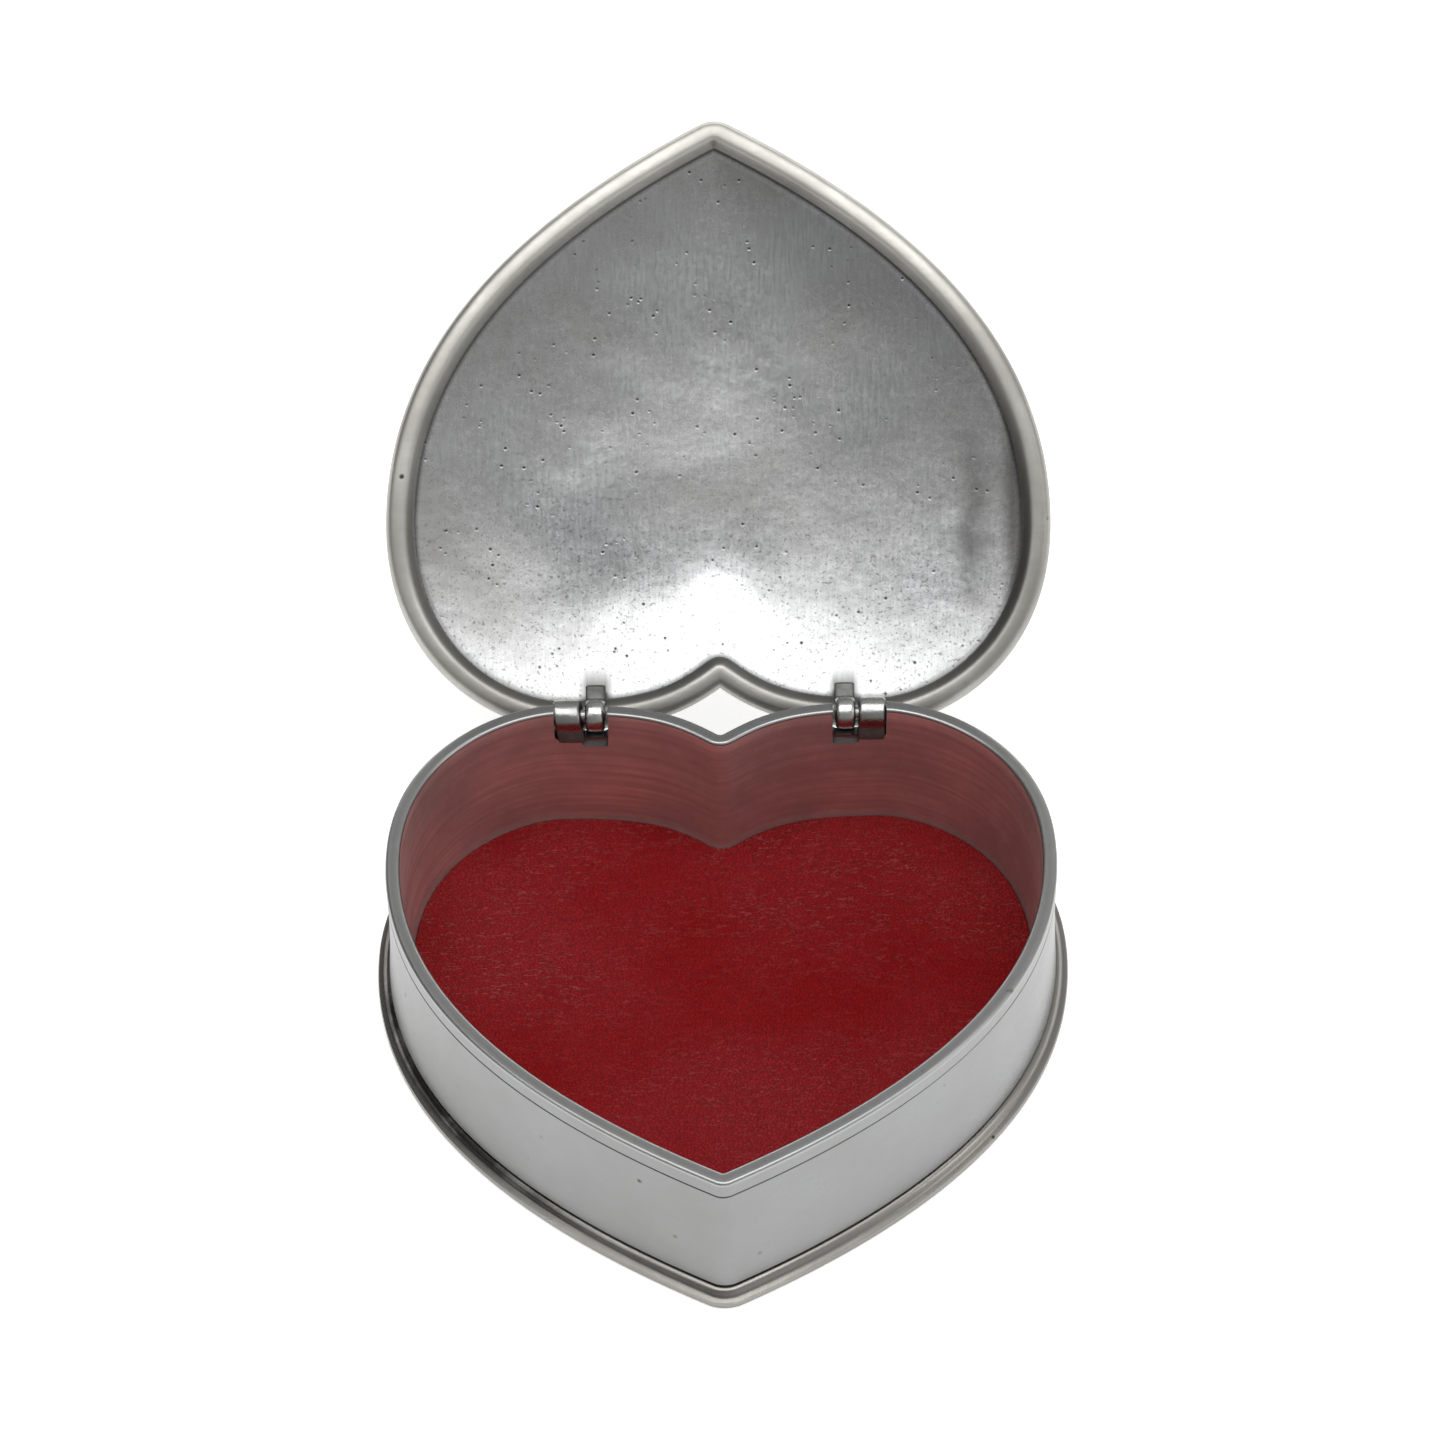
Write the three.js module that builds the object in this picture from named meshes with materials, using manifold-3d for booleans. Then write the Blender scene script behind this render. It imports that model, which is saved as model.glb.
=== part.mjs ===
// Heart-shaped cast pewter keepsake box with a hinged lid, shown open, and a leather-lined floor.
// Millimetres, +Z up. The origin is the centre of the underside, and the tip of the heart points
// to -Y. The lid stands open, as it does when it leans back on its stop.
import * as THREE from "three";
import { ParametricGeometry } from "three/addons/geometries/ParametricGeometry.js";
import { mergeVertices } from "three/addons/utils/BufferGeometryUtils.js";
import Module from "manifold-3d";

const wasm = await Module();
wasm.setup();

// Heart line of the rim: right half, from the tip at the front to the cleft at the back.
const TIP_Y = -46.8;
const SIDE = [51.35, 16.25];
const LOBE = [25.9, 46.85];
const CLEFT_Y = 39.75;
const STEPS = [13, 11, 6];

// Box body.
const HEIGHT = 26.55;
const SEAT_Z = 3.2;
const FLOOR_Z = 1.0;
const WALL = 2.2;
const FLARE = 1.2;
const FILLET = 0.5;
const SCRIBED_Z = HEIGHT - 3.1;
const FOOT_OUT = 3.2;

// Lining.
const LINING_EDGE = -2.8;
const LINING_TOP = 1.9;

// Lid, drawn closed and then swung open.
const LID_GAP = 0.3;
const LID_OUT = 2.5;
const LID_SHIFT = 0.25;
const LID_OPEN = 137;

// Hinges: a pair of knuckles in each lobe, mirrored about X = 0, all on one axis.
const AXIS_Y = 47.4;
const AXIS_Z = HEIGHT - 3.45;
const BARREL = 2.55;
const PIN = 1.02;
const BORE = 1.1;
const BODY_KNUCKLE = [22.1, 26.4];
const LID_KNUCKLE = [18.4, 21.6];
const SIDES = { left: -1, right: 1 };
const NOTCH_SIDE = 0.5;
const SILL_Z = HEIGHT - 7.4;
const TANG_Y = 42.6;
const TANG_THICK = 1.3;

const pewter = (color, roughness) =>
  new THREE.MeshStandardMaterial({ color, roughness, metalness: 1 });

// Points round the whole heart, counter-clockwise, each with the vector that sets it off by 1 mm.
// At the tip and the cleft the vector is the mitre of the two sides.
function heartStations() {
  const v = (x, y) => new THREE.Vector2(x, y);
  const curves = [
    new THREE.CubicBezierCurve(
      v(0, TIP_Y), v(38.4, TIP_Y + 19.15), v(SIDE[0], SIDE[1] - 22.2), v(...SIDE)),
    new THREE.CubicBezierCurve(
      v(...SIDE), v(SIDE[0], SIDE[1] + 23.5), v(LOBE[0] + 6.7, LOBE[1]), v(...LOBE)),
    new THREE.CubicBezierCurve(
      v(...LOBE), v(LOBE[0] - 13.15, LOBE[1]), v(7.2, CLEFT_Y + 5.5), v(0, CLEFT_Y)),
  ];
  const half = [];
  curves.forEach((curve, k) => {
    for (let i = 0; i < STEPS[k]; i += 1) {
      const t = i / STEPS[k];
      const way = curve.getTangent(t);
      half.push({ at: curve.getPoint(t), off: v(way.y, -way.x) });
    }
  });
  const last = curves[2].getTangent(1);
  const tip = half[0];
  tip.off.set(0, 1 / tip.off.y);
  const cleft = { at: v(0, CLEFT_Y), off: v(0, -1 / last.x) };
  const left = half.slice(1).reverse().map((s) => ({
    at: v(-s.at.x, s.at.y),
    off: v(-s.off.x, s.off.y),
  }));
  return [...half, cleft, ...left];
}

const STATIONS = heartStations();

// Welds a geometry's vertices and drops the triangles that a ring shrunk to a point leaves.
function welded(geometry) {
  const bare = geometry.index ? geometry.toNonIndexed() : geometry.clone();
  bare.deleteAttribute("normal");
  bare.deleteAttribute("uv");
  const merged = mergeVertices(bare, 1e-4);
  const index = merged.index.array;
  const kept = [];
  for (let i = 0; i < index.length; i += 3) {
    const [a, b, c] = [index[i], index[i + 1], index[i + 2]];
    if (a !== b && b !== c && c !== a) kept.push(a, b, c);
  }
  merged.setIndex(kept);
  return merged;
}

function toSolid(geometry) {
  const mesh = welded(geometry);
  return new wasm.Manifold(new wasm.Mesh({
    numProp: 3,
    vertProperties: mesh.attributes.position.array,
    triVerts: new Uint32Array(mesh.index.array),
  }));
}

function toGeometry(solid) {
  const { vertProperties, triVerts } = solid.getMesh();
  const geometry = new THREE.BufferGeometry();
  geometry.setAttribute("position", new THREE.Float32BufferAttribute(vertProperties, 3));
  geometry.setIndex([...triVerts]);
  return geometry;
}

// A solid whose section [out, z, scale] is carried round the heart line. `out` sets the line off,
// and `scale` below 1 then shrinks the ring towards the origin. A closed section makes a band,
// and a section from scale 0 to scale 0 makes a plate.
function heartSolid(section, closed) {
  const rows = closed ? [...section, section[0]] : section;
  const count = STATIONS.length;
  const place = (u, v, target) => {
    const { at, off } = STATIONS[Math.round(u * count) % count];
    const [out, z, scale = 1] = rows[Math.round(v * (rows.length - 1))];
    target.set((at.x + off.x * out) * scale, (at.y + off.y * out) * scale, z);
  };
  return welded(new ParametricGeometry(place, count, rows.length - 1));
}

// Points of an arc in a section, from angle a to angle b in degrees.
function arc(out, z, rOut, rZ, a, b, steps) {
  return Array.from({ length: steps + 1 }, (_, i) => {
    const angle = THREE.MathUtils.degToRad(a + ((b - a) * i) / steps);
    return [out + rOut * Math.cos(angle), z + rZ * Math.sin(angle)];
  });
}

// Outer face of the wall: upright under the rim, then flaring to the foot.
const flareAt = (z) => FLARE * ((HEIGHT - z) / (HEIGHT - SEAT_Z)) ** 2;

function wallSection() {
  const rim = 0.7;
  const groove = 0.22;
  const outer = [SEAT_Z, 7, 12, 17, SCRIBED_Z - groove].map((z) => [flareAt(z), z]);
  return [
    ...outer,
    [-groove, SCRIBED_Z],
    [0, SCRIBED_Z + groove],
    ...arc(-rim, HEIGHT - rim, rim, rim, 0, 90, 3),
    ...arc(-WALL + rim, HEIGHT - rim, rim, rim, 90, 180, 3),
    [-WALL, SEAT_Z],
  ];
}

function baseSection() {
  const foot = arc(FOOT_OUT - 1.15, 1.05, 1.15, 1.05, -60, 120, 6);
  const inner = arc(-WALL - FILLET, SEAT_Z, FILLET, SEAT_Z - FLOOR_Z, 0, -90, 4);
  return [
    [-9, 0, 0],
    [-9, 0],
    [FOOT_OUT - 1, 0],
    ...foot,
    [1.0, 1.75],
    [0.9, SEAT_Z],
    ...inner,
    [-9, FLOOR_Z],
    [-9, FLOOR_Z, 0],
  ];
}

function liningSection() {
  return [
    [LINING_EDGE, FLOOR_Z, 0],
    [LINING_EDGE, FLOOR_Z],
    [LINING_EDGE, LINING_TOP - 0.3],
    [LINING_EDGE - 0.3, LINING_TOP],
    [LINING_EDGE - 0.3, LINING_TOP, 0],
  ];
}

// Shallow domed panel inside a moulded edge. The dome's rings shrink to the middle of the lid.
function lidSection() {
  const under = HEIGHT + LID_GAP;
  const dome = [1, 0.86, 0.7, 0.52, 0.3, 0];
  const panel = (z, rise, out) => dome.map((s) => [out, z + rise * (1 - s * s), s]);
  const edge = [
    [-0.6, under],
    [LID_OUT - 1.0, under],
    [LID_OUT - 0.35, under + 0.75],
    [LID_OUT, under + 2.2],
    ...arc(LID_OUT - 1.2, under + 3.6, 1.2, 1.2, 0, 90, 4),
    [-1.2, under + 4.7],
    [-2.2, under + 4.1],
  ];
  return [
    ...panel(under + 1.8, 2.2, -3.0).reverse(),
    [-2.2, under + 1.6],
    ...edge,
    ...panel(under + 4.2, 2.3, -3.8),
  ];
}

// An x span of the right-hand hinge, or its mirror image for the left-hand one.
const onSide = (side, [x0, x1]) => (side > 0 ? [x0, x1] : [-x1, -x0]);

const cylinderX = (radius, [x0, x1], sides = 24) =>
  new THREE.CylinderGeometry(radius, radius, x1 - x0, sides)
    .rotateZ(Math.PI / 2)
    .translate((x0 + x1) / 2, AXIS_Y, AXIS_Z);

const boxBetween = ([x0, x1], [y0, y1], [z0, z1]) =>
  new THREE.BoxGeometry(x1 - x0, y1 - y0, z1 - z0)
    .translate((x0 + x1) / 2, (y0 + y1) / 2, (z0 + z1) / 2);

const bored = (solid, span) =>
  solid.subtract(toSolid(cylinderX(BORE, [span[0] - 1, span[1] + 1])));

// Fixed knuckle: barrel, a root that fills the notch, and a tail down the inside of the wall.
function bodyKnuckle(span) {
  const inside = LOBE[1] - WALL - 0.3;
  const barrel = toSolid(cylinderX(BARREL, span));
  const root = toSolid(boxBetween(span, [inside - 0.9, LOBE[1] - 0.3], [SILL_Z, AXIS_Z]));
  const tail = toSolid(boxBetween(
    [span[0] + 0.3, span[1] - 0.3], [inside - 0.9, inside], [SILL_Z - 1.6, SILL_Z + 1]));
  return toGeometry(bored(barrel.add(root).add(tail), span));
}

// Lid knuckle: barrel and a strap that rises to the underside of the closed lid, where its tang
// runs forward under the lid's edge.
function lidKnuckle(span) {
  const top = HEIGHT + LID_GAP - 0.25;
  const barrel = toSolid(cylinderX(BARREL, span));
  const strap = toSolid(boxBetween(span, [AXIS_Y - 1.4, AXIS_Y + 1.1], [AXIS_Z, top]));
  const tang = toSolid(boxBetween(span, [TANG_Y, AXIS_Y], [top - TANG_THICK, top]));
  return toGeometry(bored(barrel.add(strap).add(tang), span));
}

// The wall band with a notch through it for each pair of knuckles.
function sideWall() {
  let wall = toSolid(heartSolid(wallSection(), true));
  for (const side of Object.values(SIDES)) {
    const span = onSide(side, [LID_KNUCKLE[0] - NOTCH_SIDE, BODY_KNUCKLE[1] + NOTCH_SIDE]);
    wall = wall.subtract(
      toSolid(boxBetween(span, [LOBE[1] - 9, LOBE[1] + 6], [SILL_Z, HEIGHT + 2])));
  }
  return toGeometry(wall);
}

function piece(name, geometry, material) {
  geometry.computeVertexNormals();
  const mesh = new THREE.Mesh(geometry, material);
  mesh.name = name;
  return mesh;
}

const box = new THREE.Group();
box.name = "heart_box";
box.add(piece("base_plate", heartSolid(baseSection(), false), pewter(0xa09c92, 0.45)));
box.add(piece("side_wall", sideWall(), pewter(0xacb1b2, 0.3)));
box.add(piece("floor_lining", heartSolid(liningSection(), false),
  new THREE.MeshStandardMaterial({ color: 0x8c1c24, roughness: 0.55, metalness: 0 })));

// The lid group turns about the hinge axis.
const swing = new THREE.Group();
swing.position.set(0, AXIS_Y, AXIS_Z);
swing.rotation.x = THREE.MathUtils.degToRad(-LID_OPEN);
box.add(swing);

const lid = piece("lid", heartSolid(lidSection(), false), pewter(0x9c9ea0, 0.28));
lid.position.set(0, LID_SHIFT - AXIS_Y, -AXIS_Z);
swing.add(lid);

for (const [name, side] of Object.entries(SIDES)) {
  const fixed = bodyKnuckle(onSide(side, BODY_KNUCKLE));
  const pin = cylinderX(PIN, onSide(side, [LID_KNUCKLE[0], BODY_KNUCKLE[1]]));
  const turning = lidKnuckle(onSide(side, LID_KNUCKLE));
  box.add(piece(`body_knuckle_${name}`, fixed, pewter(0xb4b6b6, 0.3)));
  box.add(piece(`hinge_pin_${name}`, pin, pewter(0x8f9192, 0.35)));
  const knuckle = piece(`lid_knuckle_${name}`, turning, pewter(0xb4b6b6, 0.3));
  knuckle.position.set(0, -AXIS_Y, -AXIS_Z);
  swing.add(knuckle);
}

export default box;
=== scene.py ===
"""Heart-shaped cast pewter keepsake box with a hinged lid and a leather-lined floor.

Shapes are worked out in millimetres and turned into metres when a mesh is made.
"""

import math

import bmesh
import bpy
from mathutils import Matrix, Vector, noise


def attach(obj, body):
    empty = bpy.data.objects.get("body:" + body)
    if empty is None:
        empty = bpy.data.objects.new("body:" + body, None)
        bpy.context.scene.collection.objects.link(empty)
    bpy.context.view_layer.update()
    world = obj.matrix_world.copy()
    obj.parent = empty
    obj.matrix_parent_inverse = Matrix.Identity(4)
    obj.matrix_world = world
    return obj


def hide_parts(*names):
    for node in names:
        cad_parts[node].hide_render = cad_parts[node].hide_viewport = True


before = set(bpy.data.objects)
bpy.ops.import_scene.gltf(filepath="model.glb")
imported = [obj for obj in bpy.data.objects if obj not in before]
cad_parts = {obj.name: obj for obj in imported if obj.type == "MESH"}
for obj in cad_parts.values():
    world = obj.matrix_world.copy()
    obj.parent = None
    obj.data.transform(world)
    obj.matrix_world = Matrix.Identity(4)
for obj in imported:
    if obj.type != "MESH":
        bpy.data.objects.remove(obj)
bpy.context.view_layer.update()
MM = 0.001

# ---------------------------------------------------------------- dimensions, in millimetres
# The rim's outer line, right half: four points and the handles of the curves between them.
TIP_Y = -46.8
SIDE = (51.35, 16.25)
LOBE = (25.9, 46.85)
CLEFT_Y = 39.75
TIP_HANDLE = (38.4, 19.15)
SIDE_HANDLES = (22.2, 23.5)
LOBE_HANDLES = (6.7, 13.15)
CLEFT_HANDLE = (7.2, 5.5)
CURVE_STEPS = (62, 56, 36)
TIP_RADIUS = 2.8
CLEFT_RADIUS = 0.9

# Wall, foot and floor.
HEIGHT = 26.55
SEAT_Z = 3.2
FLOOR_Z = 1.0
FLOOR_REACH = -9
WALL = 2.2
FLARE = 1.2
FILLET = 0.5
RIM_RADIUS = 0.5
SCRIBED_Z = HEIGHT - 3.1
SCRIBED_REACH = 0.16
FOOT_OUT = 3.2
INSIDE_ROWS = 11  # the last rows of the wall's and the base's sections face the box's inside

# Leather lining.
LINING_EDGE = -2.8
LINING_RIM = -2.45
LINING_TOP = 1.9
LINING_RINGS = 90

# Lid, drawn closed.
LID_GAP = 0.3
LID_OUT = 2.5
LID_SHIFT = 0.25
LID_OPEN = math.radians(137)
DISH_RINGS = 60
DISH_EDGE = -3.0
DISH_DEPTH = 3.0

# Hinges. Spans are along x, on the right. The left side mirrors them.
AXIS = (0.0, 47.4, HEIGHT - 3.45)
BARREL = 2.55
BODY_KNUCKLE = (22.1, 26.4)
LID_KNUCKLE = (18.4, 21.6)
NOTCH = (LID_KNUCKLE[0] - 0.5, BODY_KNUCKLE[1] + 0.1)
SILL_Z = AXIS[2] - BARREL - 0.2
POCKET = (LID_KNUCKLE[0] - 0.4, LID_KNUCKLE[1] + 0.6)
POCKET_Z = SILL_Z - 1.3
POCKET_BACK = LOBE[1] - 1.75
LEAN = {"left": -0.16, "right": 0.04}

# Side views of the straps, (y, z) from the axis, going on from the end of the barrel's points.
TANG = [(-2.35, 1.7), (-2.6, 2.2), (-3.0, 2.45), (-4.4, 2.2), (-4.8, 2.35), (-4.95, 2.75),
        (-4.9, 3.3), (-4.6, 3.55), (1.0, 3.55), (1.9, 2.9), (2.15, 1.6)]
TAIL = [(-2.6, -0.8), (-2.75, -1.8), (-2.9, -2.8), (-2.8, -3.3), (-2.4, -3.5), (-1.8, -3.1),
        (-0.85, -2.7)]

# Mesh making: points closer than WELD and edges shorter than SLIVER, in metres, are merged, and
# edges sharper than SHARP degrees stay sharp.
WELD = 2e-7
SLIVER = 1e-7
SHARP = 35

# A vertex's tone, from 0 to 1, is stored less NEUTRAL, so that no tone means a neutral one.
# Tone paints light and shade onto the metal: painted highlights on rounded edges, painted shade
# under and between parts and on the knuckles, and patina with painted shade in the grooves.
TONE = "tone"
NEUTRAL = 0.5

# Camera: pitch, turn and roll in degrees, then millimetres.
CAMERA_ANGLES = (46.934, -0.355, -0.921)
CAMERA_TARGET = (0.407, 37.887, 31.351)
CAMERA_DISTANCE = 529.81
CAMERA_LENS = 84.41
CAMERA_SENSOR = 36


# ---------------------------------------------------------------- the heart line and its rings
def bezier(points, t):
    """A curve's point and direction at t."""
    a, b, c, d = (Vector(p) for p in points)
    s = 1 - t
    at = a * s**3 + b * 3 * s * s * t + c * 3 * s * t * t + d * t**3
    way = (b - a) * s * s + (c - b) * 2 * s * t + (d - c) * t * t
    return at, way.normalized()


def arc_points(centre_y, radius, turn, steps, inward):
    """Stations on a small arc centred on x = 0, from straight down round to turn, in radians."""
    made = []
    for i in range(steps):
        angle = turn * i / steps
        away = Vector((math.sin(angle), -math.cos(angle)))
        made.append((Vector((0, centre_y)) + away * radius, -away if inward else away))
    return made


def heart_stations():
    """Right half of the rim's outer line, from tip to cleft: (point, outward normal)."""
    tip = (0, TIP_Y)
    cleft = (0, CLEFT_Y)
    curves = [
        (tip, (TIP_HANDLE[0], TIP_Y + TIP_HANDLE[1]), (SIDE[0], SIDE[1] - SIDE_HANDLES[0]), SIDE),
        (SIDE, (SIDE[0], SIDE[1] + SIDE_HANDLES[1]), (LOBE[0] + LOBE_HANDLES[0], LOBE[1]), LOBE),
        (LOBE, (LOBE[0] - LOBE_HANDLES[1], LOBE[1]),
         (CLEFT_HANDLE[0], CLEFT_Y + CLEFT_HANDLE[1]), cleft),
    ]
    sides = []
    for points, steps in zip(curves, CURVE_STEPS):
        for i in range(steps):
            at, way = bezier(points, i / steps)
            sides.append((at, Vector((way.y, -way.x))))
    tip_turn = math.atan2(TIP_HANDLE[1], TIP_HANDLE[0])
    cleft_turn = math.atan2(CLEFT_HANDLE[1], CLEFT_HANDLE[0])
    tip_x = TIP_RADIUS * math.sin(tip_turn)
    cleft_x = CLEFT_RADIUS * math.sin(cleft_turn)
    kept = [s for s in sides if s[0].x > (tip_x if s[0].y < 0 else cleft_x) + 0.2]
    tip_arc = arc_points(
        TIP_Y + TIP_RADIUS / math.cos(tip_turn), TIP_RADIUS, tip_turn, 7, False)
    cleft_arc = arc_points(
        CLEFT_Y + CLEFT_RADIUS / math.cos(cleft_turn), CLEFT_RADIUS, cleft_turn, 5, True)
    return tip_arc + kept + cleft_arc[::-1]


STATIONS = heart_stations()


def on_axis(a, b):
    """Where the way from a to b crosses x = 0."""
    return a.lerp(b, a.x / (a.x - b.x))


def ring(out, z, scale=1.0):
    """The whole heart line set off by `out`, at height z. Parts that would cross x = 0 are cut."""
    line = [at + normal * out for at, normal in STATIONS]
    third = len(line) // 3
    crossed = [i for i, p in enumerate(line) if p.x < -1e-9]
    near_tip = [i for i in crossed if i < third]
    near_cleft = [i for i in crossed if i >= 2 * third]
    if near_tip:
        last = near_tip[-1]
        line[: last + 1] = [on_axis(line[last], line[last + 1])] * (last + 1)
    if near_cleft:
        first = near_cleft[0]
        line[first:] = [on_axis(line[first - 1], line[first])] * (len(line) - first)
    right = [Vector((p.x * scale, p.y * scale, z)) for p in line]
    left = [Vector((-p.x, p.y, p.z)) for p in right[1:-1][::-1]]
    return right + left


def new_object(name, bm, body, materials, sharp=SHARP):
    """The finished mesh as a piece of a body, with edges sharper than `sharp` degrees kept."""
    bmesh.ops.remove_doubles(bm, verts=bm.verts, dist=WELD)
    bmesh.ops.dissolve_degenerate(bm, edges=bm.edges, dist=SLIVER)
    bmesh.ops.recalc_face_normals(bm, faces=bm.faces)
    mesh = bpy.data.meshes.new(name)
    bm.to_mesh(mesh)
    bm.free()
    mesh.shade_smooth()
    mesh.set_sharp_from_angle(angle=math.radians(sharp))
    for material in materials:
        mesh.materials.append(material)
    piece = bpy.data.objects.new(name, mesh)
    bpy.context.scene.collection.objects.link(piece)
    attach(piece, body)
    return piece


def full_row(out, z, tone=NEUTRAL, scale=1.0):
    """A section's row with what it leaves out filled in."""
    return out, z, tone, scale


def loft(section, closed, change=None, second_from=None):
    """Skin over rings. Each row of the section is (out, z, tone, scale), or its first two or three.
    A tone above NEUTRAL lightens the metal as a painted highlight, and one below it darkens it as
    painted shade, joined by patina in the grooves.

    Faces from row second_from on take the piece's second material.
    """
    bm = bmesh.new()
    tone_layer = bm.verts.layers.float.new(TONE)
    rows = []
    for row in section:
        out, z, tone, scale = full_row(*row)
        verts = []
        for p in ring(out, z, scale):
            v = bm.verts.new((change(p, out, scale) if change else p) * MM)
            v[tone_layer] = tone - NEUTRAL
            verts.append(v)
        rows.append(verts)
    pairs = list(zip(rows, rows[1:])) + ([(rows[-1], rows[0])] if closed else [])
    count = len(rows[0])
    for row, (low, high) in enumerate(pairs):
        for i in range(count):
            j = (i + 1) % count
            face = bm.faces.new((low[i], low[j], high[j], high[i]))
            face.material_index = int(second_from is not None and row >= second_from)
    return bm


def arc(out, z, r_out, r_z, a, b, steps, tone=NEUTRAL):
    """Section rows on an arc round (out, z), from a to b degrees."""
    made = []
    for i in range(steps + 1):
        angle = math.radians(a + (b - a) * i / steps)
        made.append((out + r_out * math.cos(angle), z + r_z * math.sin(angle), tone))
    return made


def swung(p):
    """A point of the closed lid, in the row frame with the lid standing open."""
    dy, dz = p.y - AXIS[1], p.z - AXIS[2]
    c, s = math.cos(LID_OPEN), math.sin(LID_OPEN)
    return Vector((p.x, AXIS[1] + dy * c + dz * s, AXIS[2] - dy * s + dz * c))


# ---------------------------------------------------------------- material building
class Nodes:
    """A material's node tree, with short calls for the nodes used here."""

    def __init__(self, name):
        self.material = bpy.data.materials.new(name)
        self.material.use_nodes = True
        self.tree = self.material.node_tree
        self.shader = self.tree.nodes["Principled BSDF"]
        self.coords = self.tree.nodes.new("ShaderNodeTexCoord").outputs["Object"]

    def add(self, kind, inputs=None, **settings):
        node = self.tree.nodes.new(kind)
        for key, value in settings.items():
            setattr(node, key, value)
        for key, value in (inputs or {}).items():
            if isinstance(value, bpy.types.NodeSocket):
                self.tree.links.new(value, node.inputs[key])
            else:
                node.inputs[key].default_value = value
        return node

    def stretched(self, scale, rotation=(0, 0, 0)):
        node = self.add("ShaderNodeMapping", {
            "Vector": self.coords, "Scale": scale, "Rotation": rotation})
        return node.outputs["Vector"]

    def noise(self, vector, scale, detail=4.0, rough=0.55):
        return self.add("ShaderNodeTexNoise", {
            "Vector": vector, "Scale": scale, "Detail": detail, "Roughness": rough,
        }).outputs["Fac"]

    def cells(self, vector, scale, feature="F1"):
        return self.add("ShaderNodeTexVoronoi", {"Vector": vector, "Scale": scale},
                        feature=feature).outputs["Distance"]

    def ramp(self, value, low, high, at_low=0.0, at_high=1.0):
        return self.add("ShaderNodeMapRange", {
            "Value": value, "From Min": low, "From Max": high,
            "To Min": at_low, "To Max": at_high}).outputs["Result"]

    def axis(self, name, vector=None):
        """One coordinate of a vector, or else of the place on the object, in metres."""
        source = self.coords if vector is None else vector
        return self.add("ShaderNodeSeparateXYZ", {0: source}).outputs[name]

    def along(self, name, start, end, at_start=0.0, at_end=1.0, vector=None):
        """A ramp along one axis, between two places in millimetres."""
        return self.ramp(self.axis(name, vector), start * MM, end * MM, at_start, at_end)

    def warped(self, vector, scale, amount):
        """The vector pushed about by a coloured noise, in millimetres."""
        push = self.add("ShaderNodeTexNoise", {"Vector": vector, "Scale": scale, "Detail": 2.0})
        even = self.add("ShaderNodeVectorMath", {0: push.outputs["Color"], 1: (0.5, 0.5, 0.5)},
                        operation="SUBTRACT")
        return self.add("ShaderNodeVectorMath", {
            0: even.outputs["Vector"], 1: (amount * MM,) * 3, 2: vector,
        }, operation="MULTIPLY_ADD").outputs["Vector"]

    def math(self, operation, a, b=0.0):
        return self.add("ShaderNodeMath", {0: a, 1: b}, operation=operation).outputs[0]

    def product(self, first, *others):
        for other in others:
            first = self.math("MULTIPLY", first, other)
        return first

    def inverse(self, value):
        return self.math("SUBTRACT", 1.0, value)

    def away_from(self, value, middle):
        return self.math("ABSOLUTE", self.math("SUBTRACT", value, middle))

    def mix(self, factor, a, b):
        """Colour a where the factor is 0, and colour b where it is 1."""
        node = self.add("ShaderNodeMix", data_type="RGBA")
        sockets = {s.name: s for s in node.inputs if s.enabled}
        for name, value in (("Factor", factor), ("A", a), ("B", b)):
            if isinstance(value, bpy.types.NodeSocket):
                self.tree.links.new(value, sockets[name])
            else:
                sockets[name].default_value = (*value, 1)
        return [s for s in node.outputs if s.enabled][0]

    def bump(self, height, distance, strength=1.0, under=None):
        inputs = {"Height": height, "Distance": distance, "Strength": strength}
        if under is not None:
            inputs["Normal"] = under
        return self.add("ShaderNodeBump", inputs).outputs["Normal"]

    def finish(self, colour, roughness, normal, **fixed):
        self.tree.links.new(colour, self.shader.inputs["Base Color"])
        self.tree.links.new(roughness, self.shader.inputs["Roughness"])
        self.tree.links.new(normal, self.shader.inputs["Normal"])
        for key, value in fixed.items():
            self.shader.inputs[key.replace("_", " ")].default_value = value
        return self.material


PIT_COLOUR = (0.06, 0.056, 0.052)
# Colour of grit, and of painted shade and painted dark reflections.
STAIN_AND_SHADE_COLOUR = (0.05, 0.046, 0.042)
TONE_SHADES = (0.30, 1.70)  # what the lowest and the highest tone multiply the colour by


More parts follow.
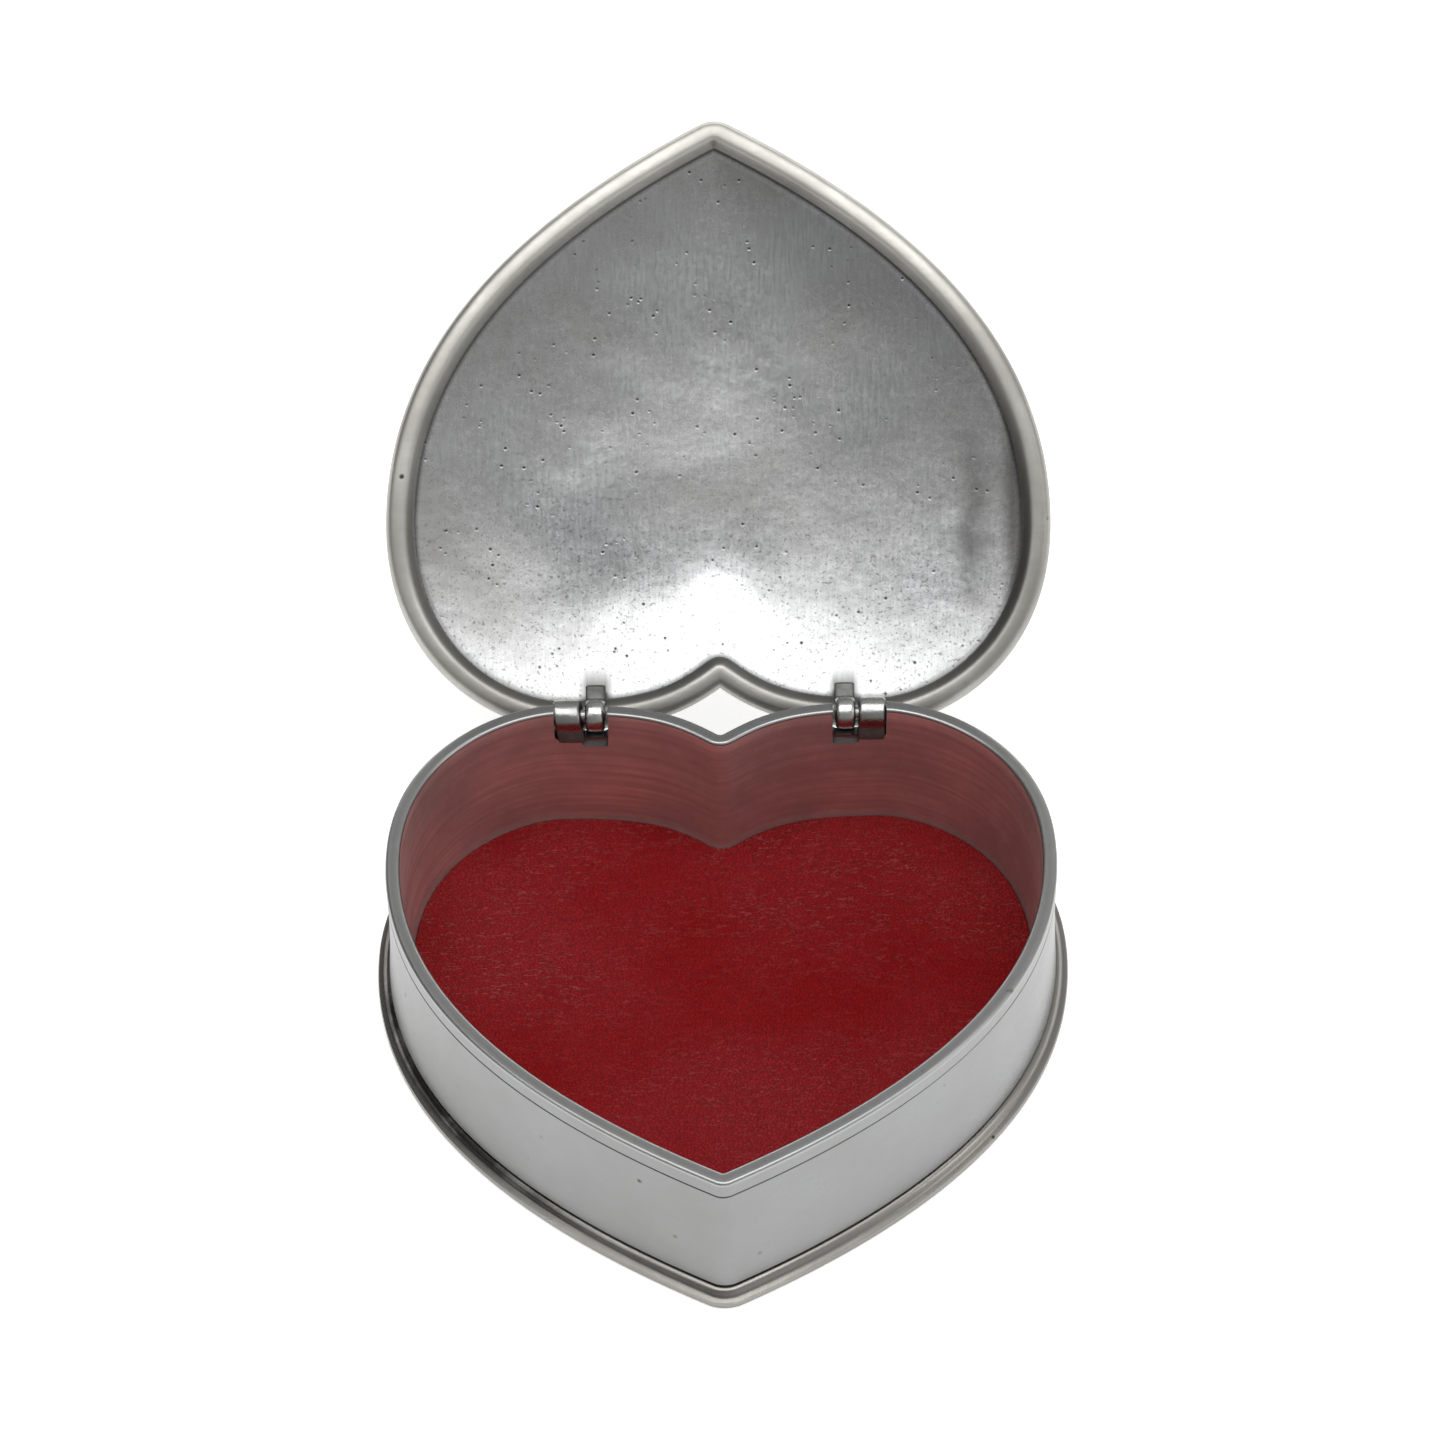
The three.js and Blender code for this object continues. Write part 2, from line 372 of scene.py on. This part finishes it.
def pewter(name, light, dark, rough, cloud=(45.0, 0.35), brush=((1, 1, 1), 0.00001, 0.22),
           grain=(900.0, 0.000006), pits=(420.0, 0.00003, 0.58), stains_and_shade=None, metal=1.0):
    """Cast pewter: cloudy patina, brushed lines, fine grain and casting pits.

    cloud is the patina's scale and how far it changes the gloss, brush is its stretch, depth and
    darkness, grain is its scale and depth, and pits is their scale and depth and how rare they are.
    The mesh's tone paints highlights and shade onto the metal, with patina in the grooves, and
    stains is a function that gives a mask of dark marks: grit, painted shade and painted dark
    reflections.
    """
    n = Nodes(name)
    cloud_scale, gloss_change = cloud
    brush_stretch, brush_depth, brush_dark = brush
    grain_scale, grain_depth = grain
    pit_scale, pit_depth, pit_rare = pits
    clouds = n.noise(n.coords, cloud_scale, 5.0, 0.6)
    fine = n.noise(n.coords, grain_scale, 6.0, 0.7)
    lines = n.noise(n.stretched(brush_stretch), 260.0, 3.0, 0.6)
    dots = n.ramp(n.cells(n.coords, pit_scale), 0.07, 0.17)
    few = n.ramp(n.noise(n.coords, 120.0, 2.0), pit_rare, pit_rare + 0.08)
    holes = n.inverse(n.product(n.inverse(dots), few))
    patina = n.mix(n.ramp(clouds, 0.33, 0.68), dark, light)
    streaked = n.mix(n.ramp(lines, 0.35, 0.65, 0.0, brush_dark), patina, dark)
    colour = n.mix(holes, PIT_COLOUR, streaked)
    # Dark marks: grit, painted shade and painted dark reflections.
    if stains_and_shade:
        colour = n.mix(stains_and_shade(n), colour, STAIN_AND_SHADE_COLOUR)
    # The tone paints highlights and shade onto the colour, with patina in the grooves.
    tone = n.add("ShaderNodeAttribute", attribute_name=TONE).outputs["Fac"]
    shade = n.ramp(tone, -NEUTRAL, NEUTRAL, *TONE_SHADES)
    toned = n.add("ShaderNodeVectorMath", {0: colour, "Scale": shade}, operation="SCALE")
    spread = 0.14 * gloss_change
    cloudy = n.ramp(clouds, 0.3, 0.75, rough + spread, rough - spread)
    roughness = n.math("ADD", cloudy, n.ramp(fine, 0.3, 0.7, -0.03, 0.04))
    normal = n.bump(clouds, 0.0006 * gloss_change)
    normal = n.bump(lines, brush_depth, 1.0, normal)
    normal = n.bump(fine, grain_depth, 1.0, normal)
    normal = n.bump(holes, pit_depth, 1.0, normal)
    return n.finish(toned.outputs["Vector"], roughness, normal, Metallic=metal)


def lid_grit_and_shade(n):
    """Grit that thickens towards the lobes, painted shade round the straps' feet, and a painted
    dark reflection along the right edge with a bent streak beside it.
    """
    specks = n.ramp(n.noise(n.coords, 2000.0, 3.0), 0.58, 0.67)
    grit = n.product(specks, n.along("Z", 48, 30, 0.12, 0.55))
    # Painted shade round the straps' feet.
    strap_middle = (LID_KNUCKLE[0] + LID_KNUCKLE[1]) / 2 * MM
    beside = n.away_from(n.math("ABSOLUTE", n.axis("X")), strap_middle)
    strap_shade = n.product(n.ramp(beside, 3.0 * MM, 1.5 * MM), n.along("Z", 24.0, 22.2))
    # Painted dark reflection along the right edge and in a bent streak beside it.
    edge = n.product(n.along("X", 45.5, 47.5, 0.0, 0.62), n.along("Z", 75, 58))
    bent = n.warped(n.coords, 70.0, 9)
    width = n.product(n.along("X", 37, 40, 0.0, 0.5, bent), n.along("X", 45.5, 41.5, vector=bent))
    height = n.product(n.along("Z", 29, 36, vector=bent), n.along("Z", 52, 39, vector=bent))
    dark_reflection = n.math("MAXIMUM", edge, n.product(width, height))
    return n.math("MAXIMUM", n.math("MAXIMUM", grit, dark_reflection), n.product(strap_shade, 0.8))


def band_shade(n):
    """Painted shade that thickens from the tip to the lobes, and more on the right."""
    lobes = n.along("Z", 72, 36, 0.0, 0.30)
    return n.math("ADD", lobes, n.along("X", 34, 49, 0.0, 0.18))


def foot_dark_reflection(n):
    """Painted dark reflection in the hollow under the wall, on the left."""
    hollow = n.product(n.along("Z", 1.4, 1.8), n.along("X", -18, -32))
    patchy = n.ramp(n.noise(n.coords, 110.0, 3.0), 0.36, 0.50, 0.35, 0.95)
    return n.product(hollow, patchy)


def leather(name):
    """Deep red leather: pebbled grain with dark valleys, broad patches of painted sheen, and
    sideways wrinkles with painted highlight on their crests and painted shade beside them.

    The wrinkles come in zones and are strongest towards the back.
    """
    n = Nodes(name)
    pebbles = n.ramp(n.cells(n.warped(n.coords, 400.0, 0.6), 1800.0, "DISTANCE_TO_EDGE"), 0.0, 0.22)
    folds = n.noise(n.stretched((0.24, 1.0, 1.0), (0, 0, 0.04)), 560.0, 5.0, 0.62)
    beside = n.away_from(folds, 0.5)
    wrinkle = n.ramp(beside, 0.007, 0.018, 1.0, 0.0)
    hollow = n.ramp(beside, 0.020, 0.045, 1.0, 0.0)
    fibre = n.noise(n.stretched((0.5, 1.0, 1.0)), 1700.0, 3.0, 0.6)
    broad = n.noise(n.coords, 26.0, 3.0, 0.5)
    patches = n.noise(n.stretched((0.6, 1.0, 1.0)), 34.0, 2.0)
    zone = n.product(n.along("Y", -22, 12, 0.35, 1.0), n.ramp(patches, 0.42, 0.60, 0.14, 1.0))
    crest = n.product(wrinkle, zone, n.ramp(fibre, 0.34, 0.54))
    # Broad patches of painted sheen over the red dye.
    dye_and_sheen = n.mix(n.ramp(broad, 0.38, 0.62), (0.275, 0.0015, 0.003), (0.315, 0.014, 0.018))
    grained = n.mix(n.product(n.inverse(pebbles), 0.65), dye_and_sheen, (0.085, 0.0015, 0.003))
    # Painted shade in the hollows beside the wrinkles, and painted highlight on their crests.
    shaded = n.mix(n.product(hollow, zone, 0.3), grained, (0.10, 0.0015, 0.003))
    colour = n.mix(n.product(crest, 0.62), shaded, (0.58, 0.10, 0.09))
    roughness = n.ramp(fibre, 0.3, 0.7, 0.52, 0.42)
    normal = n.bump(pebbles, 0.00009, 0.9)
    normal = n.bump(fibre, 0.00002, 0.6, normal)
    normal = n.bump(crest, 0.0001, 0.9, normal)
    return n.finish(colour, roughness, normal, IOR=1.21)


WALL_METAL = pewter(
    "wall_pewter", (0.318, 0.324, 0.322), (0.278, 0.280, 0.274), 0.31, cloud=(30.0, 0.25),
    brush=((1, 1, 7), 0.000004, 0.3), grain=(1100.0, 0.000003), pits=(300.0, 0.00003, 0.60))
INNER_METAL = pewter(
    "inner_pewter", (0.95, 0.87, 0.83), (0.56, 0.50, 0.47), 0.46, cloud=(60.0, 0.3),
    brush=((0.10, 0.10, 3.5), 0.00003, 0.6), grain=(1400.0, 0.000005),
    pits=(300.0, 0.00002, 0.66), metal=0.90)
FOOT_METAL = pewter(
    "foot_pewter", (0.335, 0.325, 0.30), (0.28, 0.27, 0.25), 0.29,
    grain=(900.0, 0.000003), stains_and_shade=foot_dark_reflection)
LID_METAL = pewter(
    "lid_pewter", (0.63, 0.64, 0.65), (0.31, 0.305, 0.295), 0.25, cloud=(24.0, 0.6),
    brush=((9, 1, 1), 0.000008, 0.3), grain=(1300.0, 0.000012), pits=(520.0, 0.00004, 0.50),
    stains_and_shade=lid_grit_and_shade)
BAND_METAL = pewter(
    "band_pewter", (0.70, 0.69, 0.645), (0.52, 0.51, 0.47), 0.46, cloud=(60.0, 0.3),
    brush=((1, 6, 6), 0.000008, 0.22), grain=(1200.0, 0.000008), pits=(300.0, 0.00003, 0.60),
    stains_and_shade=band_shade)
HINGE_METAL = pewter(
    "hinge_pewter", (0.64, 0.64, 0.62), (0.44, 0.44, 0.43), 0.27, cloud=(200.0, 0.3))
# The strap's dark colour is painted shade.
SHADED_STRAP_METAL = pewter(
    "strap_pewter", (0.20, 0.20, 0.19), (0.10, 0.10, 0.095), 0.40, cloud=(300.0, 0.3), metal=0.55)
PIN_METAL = pewter("pin_steel", (0.5, 0.5, 0.5), (0.36, 0.36, 0.36), 0.32)
LEATHER = leather("red_leather")


# ---------------------------------------------------------------- box body
def flare_at(z):
    return FLARE * ((HEIGHT - z) / (HEIGHT - SEAT_Z)) ** 2


def wall_section():
    """Closed section: up the flared outside, over the rounded rim, down the inside."""
    low = SCRIBED_Z - SCRIBED_REACH
    crown_z = HEIGHT - RIM_RADIUS
    outer = [(flare_at(z), z) for z in [SEAT_Z + (low - SEAT_Z) * i / 14 for i in range(15)]]
    # The scribed line's groove is darker: patina with painted shade.
    scribed = [(-0.07, SCRIBED_Z - 0.07, 0.15), (-0.11, SCRIBED_Z, 0.05),
               (-0.07, SCRIBED_Z + 0.07, 0.15), (0, SCRIBED_Z + SCRIBED_REACH)]
    up = [(0, SCRIBED_Z + 1.2), (0, crown_z - 0.3)]
    # The rim's rounded edges and top are lighter: painted highlight.
    crown = arc(-RIM_RADIUS, crown_z, RIM_RADIUS, RIM_RADIUS, 0, 90, 6, 0.72)
    top = [(-WALL / 2, HEIGHT - 0.03, 0.6)]
    inside = arc(-WALL + RIM_RADIUS, crown_z, RIM_RADIUS, RIM_RADIUS, 90, 180, 6, 0.72)
    down = [(-WALL, crown_z - (crown_z - SEAT_Z) * i / 10) for i in range(1, 11)]
    return outer + scribed + up + crown + top + inside + down


def notch_cutter(side, span, low, back, radius):
    """Block with rounded lower corners, cutting from inside the box back to y = back."""
    x0, x1 = sorted((side * span[0], side * span[1]))
    outline = [(x1, HEIGHT + 3), (x0, HEIGHT + 3)]
    for cx, start in ((x0 + radius, 180), (x1 - radius, 270)):
        for i in range(7):
            a = math.radians(start + 15 * i)
            outline.append((cx + radius * math.cos(a), low + radius + radius * math.sin(a)))
    bm = bmesh.new()
    near, far = ([bm.verts.new(Vector((x, y, z)) * MM) for x, z in outline]
                 for y in (LOBE[1] - 9, back))
    bm.faces.new(near)
    bm.faces.new(far[::-1])
    for i, v in enumerate(near):
        j = (i + 1) % len(near)
        bm.faces.new((v, far[i], far[j], near[j]))
    bmesh.ops.recalc_face_normals(bm, faces=bm.faces)
    mesh = bpy.data.meshes.new("cutter")
    bm.to_mesh(mesh)
    bm.free()
    cutter = bpy.data.objects.new("cutter", mesh)
    bpy.context.scene.collection.objects.link(cutter)
    return cutter


def cut(piece, cutters):
    """Takes the cutters out of a piece, in order, and removes them."""
    for cutter in cutters:
        modifier = piece.modifiers.new("cut", "BOOLEAN")
        modifier.object = cutter
        modifier.operation = "DIFFERENCE"
        modifier.solver = "EXACT"
    depsgraph = bpy.context.evaluated_depsgraph_get()
    made = bpy.data.meshes.new_from_object(piece.evaluated_get(depsgraph))
    piece.modifiers.clear()
    piece.data = made
    for cutter in cutters:
        bpy.data.objects.remove(cutter)
    made.set_sharp_from_angle(angle=math.radians(SHARP))


wall_rows = wall_section()
wall = new_object("wall_band", loft(wall_rows, True, None, len(wall_rows) - INSIDE_ROWS), "box",
                  [WALL_METAL, INNER_METAL])
for side in (-1, 1):
    cut(wall, [notch_cutter(side, NOTCH, SILL_Z, LOBE[1] + 6, 0.9),
               notch_cutter(side, POCKET, POCKET_Z, POCKET_BACK, 0.6)])
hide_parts("side_wall")


def base_section():
    """Plate from the underside's centre, round the moulded foot, to the floor's centre."""
    # The tones paint shade on the foot's lowest rows and in its hollow, a little highlight on its
    # upper rounding, and a painted shadow in the dark line where the foot meets the wall; the floor
    # under the lining is darker.
    foot = [(2.75, 0.0, 0.2), (3.08, 0.12, 0.25), (FOOT_OUT, 0.42, 0.35), (FOOT_OUT, 0.85, 0.5),
            (3.08, 1.15, 0.6), (2.8, 1.32, 0.5), (2.45, 1.45, 0.4), (2.2, 1.62, 0.4),
            (2.0, 1.95, 0.5), (1.75, 2.3, 0.55), (1.45, 2.5, 0.5), (1.1, 2.55, 0.2)]
    seat = [(0.75, 2.6, 0.05), (0.75, SEAT_Z, 0.1)]
    inner = arc(-WALL - FILLET, SEAT_Z, FILLET, SEAT_Z - FLOOR_Z, 0, -90, 8)
    return [(FLOOR_REACH, 0, NEUTRAL, 0), (FLOOR_REACH, 0), *foot, *seat, *inner,
            (FLOOR_REACH, FLOOR_Z, 0.3), (FLOOR_REACH, FLOOR_Z, 0.3, 0)]


base_rows = base_section()
base = new_object("foot_and_floor", loft(base_rows, False, None, len(base_rows) - INSIDE_ROWS),
                  "box", [FOOT_METAL, INNER_METAL])
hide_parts("base_plate")


def creased(p, out, scale):
    """Soft waves of the leather's top, low enough to stay in the sheet's thickness."""
    if p.z < LINING_TOP - 0.2:
        return p
    wave = noise.noise(Vector((p.x * 0.05, p.y * 0.16, 3.0)))
    ripple = noise.noise(Vector((p.x * 0.16, p.y * 0.55, 9.0)))
    edge = min(1.0, (1.0 - scale) * 9.0)
    return Vector((p.x, p.y, p.z + edge * (0.04 * wave + 0.008 * ripple)))


def lining_section():
    """Sheet from its underside's centre, round its rolled edge, to its top's centre."""
    top = LINING_TOP - 0.1
    rings = [(LINING_RIM - 0.3, top, NEUTRAL, 1.0 - i / LINING_RINGS)
             for i in range(LINING_RINGS + 1)]
    return [(LINING_EDGE, FLOOR_Z, NEUTRAL, 0), (LINING_EDGE, FLOOR_Z),
            (LINING_RIM - 0.1, top - 0.45), (LINING_RIM, top - 0.25),
            (LINING_RIM - 0.08, top - 0.08), *rings]


lining = new_object("leather_lining", loft(lining_section(), False, creased), "box",
                    [LEATHER], 60)
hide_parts("floor_lining")


# ---------------------------------------------------------------- lid
def eased(t):
    """Smooth step from 0 to 1."""
    t = min(1.0, t)
    return t * t * (3 - 2 * t)


def dish_rise(scale):
    return DISH_DEPTH * (1 - scale**3)


def lid_section():
    """The closed lid from its dish's centre, round the moulded edge, to its top's centre."""
    under = HEIGHT + LID_GAP
    steps = [1.0 - i / DISH_RINGS for i in range(DISH_RINGS + 1)]
    inner = [(DISH_EDGE, under + 1.75 + dish_rise(s), NEUTRAL, s) for s in steps]
    outer = [(-3.8, under + 4.2 + 2.3 * (1 - s * s), NEUTRAL, s) for s in steps]
    # The tones darken the groove round the dish and the groove on the lid's top: patina with
    # painted shade.
    edge = [
        (-2.6, under + 1.7, 0.25), (-2.35, under + 1.66, 0.03), (-2.1, under + 1.55, 0.03),
        (-1.75, under + 1.25, 0.1), (-1.2, under + 0.55, 0.22), (-0.9, under + 0.24, 0.35),
        (-0.6, under + 0.08), (-0.2, under + 0.02), (0.3, under + 0.02), (0.9, under + 0.08),
        (1.4, under + 0.22), (1.8, under + 0.5), (2.1, under + 1.05), (2.35, under + 1.9),
        (LID_OUT, under + 2.8), *arc(LID_OUT - 1.2, under + 3.5, 1.2, 1.2, 0, 90, 7),
        (0.4, under + 4.74), (-0.6, under + 4.7), (-1.5, under + 4.5, 0.45),
        (-2.0, under + 4.25, 0.3), (-2.4, under + 4.05, 0.15), (-2.9, under + 4.05, 0.3),
    ]
    return inner[::-1] + edge + outer


CORNER_ROUNDING = 14
TIP_SPREAD = 0.0107
CLEFT_SPREAD = -0.019
SPREAD_REACH = 25


def cast(p, out, scale):
    """Shifts the closed lid onto its hinge line, softens and ripples its dish, and swings it open.

    The rings' corners at the tip and the cleft would crease the dish, so there the rise follows
    a rounded corner, rounder towards the middle.
    """
    z = p.z
    if scale < 1.0 and out == DISH_EDGE:
        corner = CORNER_ROUNDING * (1 - scale)
        spread = TIP_SPREAD if p.y < 0 else CLEFT_SPREAD
        along = eased(abs(p.y) / SPREAD_REACH)
        shift = spread * along * (math.hypot(p.x, corner) - abs(p.x))
        z += dish_rise(min(1.0, scale + shift)) - dish_rise(scale)
        edge = eased((1.0 - scale) * 2.5)
        broad = noise.noise(Vector((p.x * 0.055, p.y * 0.05, 1.7)))
        small = noise.noise(Vector((p.x * 0.13, p.y * 0.11, 5.1)))
        z += edge * (0.24 * broad + 0.05 * small)
    return swung(Vector((p.x, p.y + LID_SHIFT, z)))


# The dish and the first three rows of the edge are in the lid's first material.
lid = new_object("lid_casting", loft(lid_section(), False, cast, DISH_RINGS + 3), "lid",
                 [LID_METAL, BAND_METAL])
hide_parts("lid")


# ---------------------------------------------------------------- hinges
def barrel(start, end, steps=40):
    """Points round the barrel in (y, z) from the axis, in degrees from straight back."""
    angles = [math.radians(start + (end - start) * i / steps) for i in range(steps + 1)]
    return [Vector((BARREL * math.cos(a), BARREL * math.sin(a))) for a in angles]


STRAP_ROLL = 0.33
BARREL_SWELL = 0.06
FRONT_SHADE = 0.24


def knuckle(name, round_part, strap, side, span, body, rounding, lean, opened):
    """A curled strap: its side view drawn out along x, with both side edges rolled over.

    The straight strap is too thin for the barrel's full rounding and takes a third of it. It is
    duller than the barrel, and its darker colour is painted shade. The rolled edges get painted
    shade, and so does a body knuckle's front. The knuckle leans by `lean` mm along x for each mm of
    height.
    """
    profile = round_part + [Vector(p) for p in strap]
    count = len(profile)
    area = sum(profile[i - 1].cross(profile[i]) for i in range(count))
    inward = []
    for i in range(count):
        way = (profile[(i + 1) % count] - profile[i - 1]).normalized()
        roll = 1.0 if i < len(round_part) else STRAP_ROLL
        inward.append(Vector((-way.y, way.x)) * math.copysign(roll, area))
    turns = [math.radians(15 * i) for i in range(7)]
    half = [(rounding * (1 - math.cos(a)), rounding * (1 - math.sin(a))) for a in turns]
    x0, x1 = sorted((side * span[0], side * span[1]))
    rows = [(x0 + along, inset) for along, inset in half]
    rows += [((x0 + x1) / 2, -BARREL_SWELL)]
    rows += [(x1 - along, inset) for along, inset in reversed(half)]
    bm = bmesh.new()
    tone_layer = bm.verts.layers.float.new(TONE)
    rings = []
    for x, inset in rows:
        ring_verts = []
        for at, off in zip(profile, inward):
            dy, dz = at + off * inset
            p = Vector((x + lean * dz, AXIS[1] + dy, AXIS[2] + dz))
            front = 0.0 if opened else max(0.0, off.x)
            v = bm.verts.new((swung(p) if opened else p) * MM)
            # Painted shade on the rolled edges and on a body knuckle's front.
            v[tone_layer] = -NEUTRAL * max(0.0, inset) / rounding - FRONT_SHADE * front
            ring_verts.append(v)
        rings.append(ring_verts)
    for low, high in zip(rings, rings[1:]):
        for i in range(count):
            j = (i + 1) % count
            face = bm.faces.new((low[i], high[i], high[j], low[j]))
            face.material_index = int(i >= len(round_part))
    bm.faces.new(rings[0])
    bm.faces.new(rings[-1][::-1])
    return new_object(name, bm, body, [HINGE_METAL, SHADED_STRAP_METAL], 50)


for word, side in (("left", -1), ("right", 1)):
    fixed = knuckle(f"fixed_knuckle_{word}", barrel(-70, 185), TAIL, side,
                    BODY_KNUCKLE, "box", 0.5, LEAN[word], False)
    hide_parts(f"body_knuckle_{word}")
    turning = knuckle(f"strap_knuckle_{word}", barrel(20, -200), TANG, side,
                      LID_KNUCKLE, "lid", 0.8, 0, True)
    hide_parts(f"lid_knuckle_{word}")
    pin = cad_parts[f"hinge_pin_{word}"]
    pin.data.materials.clear()
    pin.data.materials.append(PIN_METAL)


# ---------------------------------------------------------------- the lining's area, which nothing uses
def heart_area(out):
    loop = ring(out, 0)
    pairs = zip(loop, loop[1:] + loop[:1])
    return abs(sum(a.x * b.y - b.x * a.y for a, b in pairs)) / 2 * MM * MM


heart_area(LINING_RIM)


# ---------------------------------------------------------------- camera, floor and light
def look_camera():
    """Camera above and in front of the box, aimed a little behind its middle."""
    pitch, turn, roll = (math.radians(a) for a in CAMERA_ANGLES)
    forward = Vector((math.sin(turn) * math.cos(pitch), math.cos(turn) * math.cos(pitch),
                      -math.sin(pitch)))
    side = Vector((math.cos(turn), -math.sin(turn), 0))
    up = side.cross(forward)
    right = side * math.cos(roll) + up * math.sin(roll)
    above = up * math.cos(roll) - side * math.sin(roll)
    place = (Vector(CAMERA_TARGET) - forward * CAMERA_DISTANCE) * MM
    data = bpy.data.cameras.new("camera")
    data.lens = CAMERA_LENS
    data.sensor_width = CAMERA_SENSOR
    camera = bpy.data.objects.new("camera", data)
    rows = Matrix((right, above, -forward)).transposed()
    camera.matrix_world = Matrix.Translation(place) @ rows.to_4x4()
    bpy.context.scene.collection.objects.link(camera)
    bpy.context.scene.camera = camera


def floor():
    """Plain white floor that glows faintly."""
    bm = bmesh.new()
    bmesh.ops.create_grid(bm, x_segments=1, y_segments=1, size=3.0)
    mesh = bpy.data.meshes.new("floor")
    bm.to_mesh(mesh)
    bm.free()
    n = Nodes("floor_white")
    speck = n.noise(n.coords, 40.0, 2.0)
    tint = n.mix(n.ramp(speck, 0.3, 0.7), (0.90, 0.90, 0.90), (0.92, 0.92, 0.92))
    n.shader.inputs["Emission Color"].default_value = (1, 1, 1, 1)
    mesh.materials.append(n.finish(tint, n.ramp(speck, 0, 1, 0.8, 0.85), n.bump(speck, 0.00001),
                                   Emission_Strength=0.51))
    plane = bpy.data.objects.new("floor", mesh)
    bpy.context.scene.collection.objects.link(plane)


def softbox(name, place, target, size, power):
    """Rectangular lamp, with its places and size in metres and its power in watts."""
    data = bpy.data.lights.new(name, "AREA")
    data.shape = "RECTANGLE"
    data.size, data.size_y = size
    data.energy = power
    light = bpy.data.objects.new(name, data)
    light.location = place
    light.rotation_euler = (Vector(target) - Vector(place)).to_track_quat("-Z", "Y").to_euler()
    bpy.context.scene.collection.objects.link(light)


def room_light():
    """Grey room, darkest on the left and palest on the right."""
    world = bpy.data.worlds.new("world")
    world.use_nodes = True
    tree = world.node_tree
    across = tree.nodes.new("ShaderNodeSeparateXYZ")
    tree.links.new(tree.nodes.new("ShaderNodeTexCoord").outputs["Generated"], across.inputs[0])
    shade = tree.nodes.new("ShaderNodeMapRange")
    for key, value in (("From Min", -0.8), ("From Max", 0.8), ("To Min", 0.13), ("To Max", 0.54)):
        shade.inputs[key].default_value = value
    tree.links.new(across.outputs["X"], shade.inputs["Value"])
    tree.links.new(shade.outputs["Result"], tree.nodes["Background"].inputs["Color"])
    bpy.context.scene.world = world


look_camera()
floor()
softbox("top_box", (0.0, -0.11, 0.95), (0, -0.11, 0), (1.0, 0.76), 5.4)
softbox("left_box", (-0.8, -0.4, 0.8), (0, 0, 0.02), (0.5, 0.6), 1.0)
softbox("right_box", (0.9, -0.2, 0.5), (0, 0, 0.02), (0.4, 0.6), 0.9)
softbox("back_box", (0.0, 0.95, 0.42), (0, 0.08, 0), (1.0, 0.35), 3.0)
room_light()
bpy.context.scene.view_settings.view_transform = "Standard"
